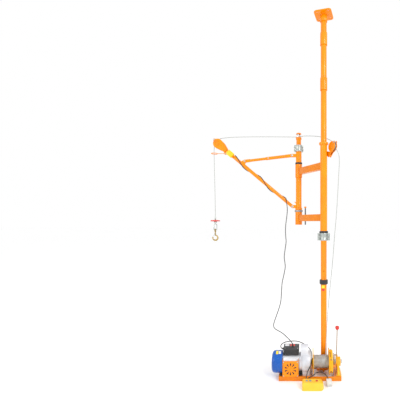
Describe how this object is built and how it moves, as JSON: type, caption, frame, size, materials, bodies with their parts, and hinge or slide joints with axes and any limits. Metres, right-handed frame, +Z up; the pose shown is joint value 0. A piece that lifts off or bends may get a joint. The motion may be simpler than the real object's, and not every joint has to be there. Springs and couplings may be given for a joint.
{
  "type": "floor-to-ceiling hoist",
  "caption": "Prop-mast hoist wedged between floor and ceiling, with a swinging frame, luffing boom, wire rope and hook, and a motor winch with clutch lever on its base.",
  "frame": {"origin": "on the mast axis at floor level, under the rib that carries the mast", "axes": "+Z up along the mast, +X towards the clutch lever, -Y the operator's side with the drum"},
  "size_m": [1.2157, 0.6735, 3.06],
  "materials": {
    "mast_paint": "glossy orange-yellow enamel",
    "winch_yellow": "glossy yellow enamel",
    "zinc_steel": "bright zinc plating",
    "wire_rope": "galvanised wire strand",
    "cast_alloy": "cast, lightly blasted",
    "dark_steel": "oiled machined steel",
    "bronze": "sintered bronze bush",
    "hook_gold": "yellow zinc over forged steel",
    "black_rubber": "matt rubber",
    "black_plastic": "moulded, fine grain",
    "cable_black": "smooth flexible sheath",
    "fan_blue": "glossy blue enamel",
    "red_plastic": "glossy red",
    "grey_plastic": "grey button cap",
    "pendant_yellow": "moulded yellow",
    "plug_white": "white moulded"
  },
  "bodies": {
    "base": {"base_frame": "mast_paint", "mast_foot": "mast_paint", "mast_tubes": "mast_paint", "couplers": "mast_paint", "mast_rings": "black_rubber", "mast_clamp": "zinc_steel", "motor_housing": "cast_alloy", "motor_feet": "black_plastic", "fan_cover": "fan_blue", "fan_guard": "mast_paint", "control_box": "black_plastic", "gearbox": "cast_alloy", "pedestal": "winch_yellow", "pendant": "pendant_yellow", "rope_riser": "wire_rope", "lower_cable": "cable_black", "pendant_cable": "cable_black", "plug_cable": "cable_black", "mains_plug": "plug_white"},
    "ceiling_jack": {"ceiling_plate": "mast_paint"},
    "swing_frame": {"swing_sleeve": "mast_paint", "swing_bearings": "bronze", "swing_links": "mast_paint", "post_sleeves": "mast_paint", "tail_bracket": "mast_paint", "tail_axle": "zinc_steel", "rope_back": "wire_rope", "hanging_cable": "cable_black"},
    "tail_wheel": {"tail_sheave": "dark_steel"},
    "lock_pin": {"lock_pin": "zinc_steel"},
    "post": {"boom_post": "mast_paint", "post_clamp": "zinc_steel", "guide_head": "mast_paint", "rope_boom": "wire_rope"},
    "front_roller": {"front_roller": "zinc_steel"},
    "back_roller": {"back_roller": "zinc_steel"},
    "strut_outer": {"strut_outer": "mast_paint"},
    "strut_inner": {"strut_inner": "mast_paint"},
    "boom": {"boom_tube": "mast_paint", "head_plates": "mast_paint", "head_axle": "zinc_steel", "limit_switch": "pendant_yellow", "boom_cable": "cable_black"},
    "head_wheel": {"head_sheave": "dark_steel"},
    "limit_arm": {"limit_arm": "mast_paint"},
    "rope_fall": {"rope_drop": "wire_rope"},
    "hook_block": {"stop_disc": "red_plastic", "rope_thimble": "wire_rope"},
    "hook": {"hook": "hook_gold"},
    "hook_latch": {"hook_latch": "zinc_steel"},
    "rotor": {"rotor": "dark_steel"},
    "drum": {"drum": "winch_yellow", "rope_winding": "wire_rope", "clutch_drum": "winch_yellow", "winch_shaft": "zinc_steel"},
    "clutch_collar": {"clutch_collar": "dark_steel"},
    "clutch_lever": {"clutch_lever": "zinc_steel"},
    "up_button": {"up_button": "grey_plastic"},
    "down_button": {"down_button": "grey_plastic"},
    "stop_button": {"stop_button": "red_plastic"}
  },
  "joints": [
    {"name": "ceiling_jack", "type": "slide", "parent": "base", "child": "ceiling_jack", "axis": [0, 0, 1], "range_m": [0, 0.04]},
    {"name": "frame_swing", "type": "hinge", "parent": "base", "child": "swing_frame", "pos_m": [0, 0, 1.206], "axis": [0, 0, 1], "range_deg": [-90, 90], "deforming": ["rope_riser", "lower_cable"]},
    {"name": "boom_swing", "type": "hinge", "parent": "swing_frame", "child": "post", "pos_m": [-0.2237, 0.31947, 1.396], "axis": [0, 0, 1], "range_deg": [-100, 90], "deforming": ["hanging_cable", "rope_boom", "rope_back"]},
    {"name": "boom_luff", "type": "hinge", "parent": "post", "child": "boom", "pos_m": [-0.28369, 0.31947, 1.431], "axis": [0, 1, 0], "range_deg": [-6, 6], "deforming": ["rope_boom", "hanging_cable"]},
    {"name": "strut_swing", "type": "hinge", "parent": "post", "child": "strut_outer", "pos_m": [-0.28869, 0.31947, 1.92], "axis": [0, 1, 0], "range_deg": [-6, 6]},
    {"name": "strut_slide", "type": "slide", "parent": "strut_outer", "child": "strut_inner", "axis": [-0.9929, 0, -0.1188], "range_m": [-0.054, 0.054]},
    {"name": "rope_hang", "type": "hinge", "parent": "boom", "child": "rope_fall", "pos_m": [-0.99569, 0.31947, 2.033], "axis": [0, 1, 0], "range_deg": [-6.5, 6.5]},
    {"name": "drum_turn", "type": "hinge", "parent": "base", "child": "drum", "pos_m": [-0.03, -0.085, 0.128], "axis": [1, 0, 0], "range_deg": [-1179.62, 674.07]},
    {"name": "hook_lift", "type": "slide", "parent": "rope_fall", "child": "hook_block", "axis": [0, 0, 1], "range_m": [-1.052, 0.602], "deforming": ["rope_drop"]},
    {"name": "head_wheel_turn", "type": "hinge", "parent": "boom", "child": "head_wheel", "pos_m": [-0.99569, 0.31947, 2.033], "axis": [0, 1, 0], "range_deg": [-1584.17, 905.67]},
    {"name": "tail_wheel_turn", "type": "hinge", "parent": "swing_frame", "child": "tail_wheel", "pos_m": [0.07406, -0.03604, 1.921], "axis": [-0.8192, -0.5736, 0], "range_deg": [-955.93, 1672.13]},
    {"name": "front_roller_turn", "type": "hinge", "parent": "post", "child": "front_roller", "pos_m": [-0.22961, 0.30678, 2.092], "axis": [0, 0, 1], "continuous": true},
    {"name": "back_roller_turn", "type": "hinge", "parent": "post", "child": "back_roller", "pos_m": [-0.21778, 0.33216, 2.092], "axis": [0, 0, 1], "continuous": true},
    {"name": "lock_pin_lift", "type": "slide", "parent": "swing_frame", "child": "lock_pin", "axis": [0, 0, 1], "range_m": [0, 0.05]},
    {"name": "limit_arm_lift", "type": "hinge", "parent": "boom", "child": "limit_arm", "pos_m": [-0.9257, 0.31947, 1.939], "axis": [0, 1, 0], "range_deg": [0, 12], "stiffness_Nm_per_rad": 0.3, "springref_deg": -20.05},
    {"name": "hook_swing", "type": "hinge", "parent": "hook_block", "child": "hook", "pos_m": [-1.0237, 0.31947, 1.2185], "axis": [0, 1, 0], "range_deg": [-25, 25]},
    {"name": "latch_open", "type": "hinge", "parent": "hook", "child": "hook_latch", "pos_m": [-1.0332, 0.31947, 1.17], "axis": [0, -1, 0], "range_deg": [0, 26], "stiffness_Nm_per_rad": 0.01, "springref_deg": -17.19},
    {"name": "rotor_spin", "type": "hinge", "parent": "base", "child": "rotor", "pos_m": [-0.277, -0.085, 0.128], "axis": [1, 0, 0], "continuous": true},
    {"name": "clutch_throw", "type": "hinge", "parent": "base", "child": "clutch_lever", "pos_m": [0.102, -0.085, 0.176], "axis": [0, 1, 0], "range_deg": [-4.5, 4.5]},
    {"name": "collar_slide", "type": "slide", "parent": "drum", "child": "clutch_collar", "axis": [1, 0, 0], "range_m": [-0.0041, 0.0041]},
    {"name": "up_press", "type": "slide", "parent": "base", "child": "up_button", "axis": [0, 0, -1], "range_m": [0, 0.003], "stiffness_N_per_m": 300, "springref_m": -0.002},
    {"name": "down_press", "type": "slide", "parent": "base", "child": "down_button", "axis": [0, 0, -1], "range_m": [0, 0.003], "stiffness_N_per_m": 300, "springref_m": -0.002},
    {"name": "stop_press", "type": "slide", "parent": "base", "child": "stop_button", "axis": [0, 0, -1], "range_m": [0, 0.003], "stiffness_N_per_m": 300, "springref_m": -0.002}
  ],
  "couplings": [
    {"joint": "strut_swing", "follows": "boom_luff", "ratio": 0.8883},
    {"joint": "strut_slide", "follows": "boom_luff", "m_per_rad": -0.48551},
    {"joint": "rope_hang", "follows": "boom_luff", "ratio": -1},
    {"joint": "hook_lift", "follows": "drum_turn", "m_per_rad": 0.051},
    {"joint": "head_wheel_turn", "follows": "drum_turn", "ratio": 1.3421},
    {"joint": "tail_wheel_turn", "follows": "drum_turn", "ratio": -1.4167},
    {"joint": "collar_slide", "follows": "clutch_throw", "m_per_rad": -0.048}
  ]
}
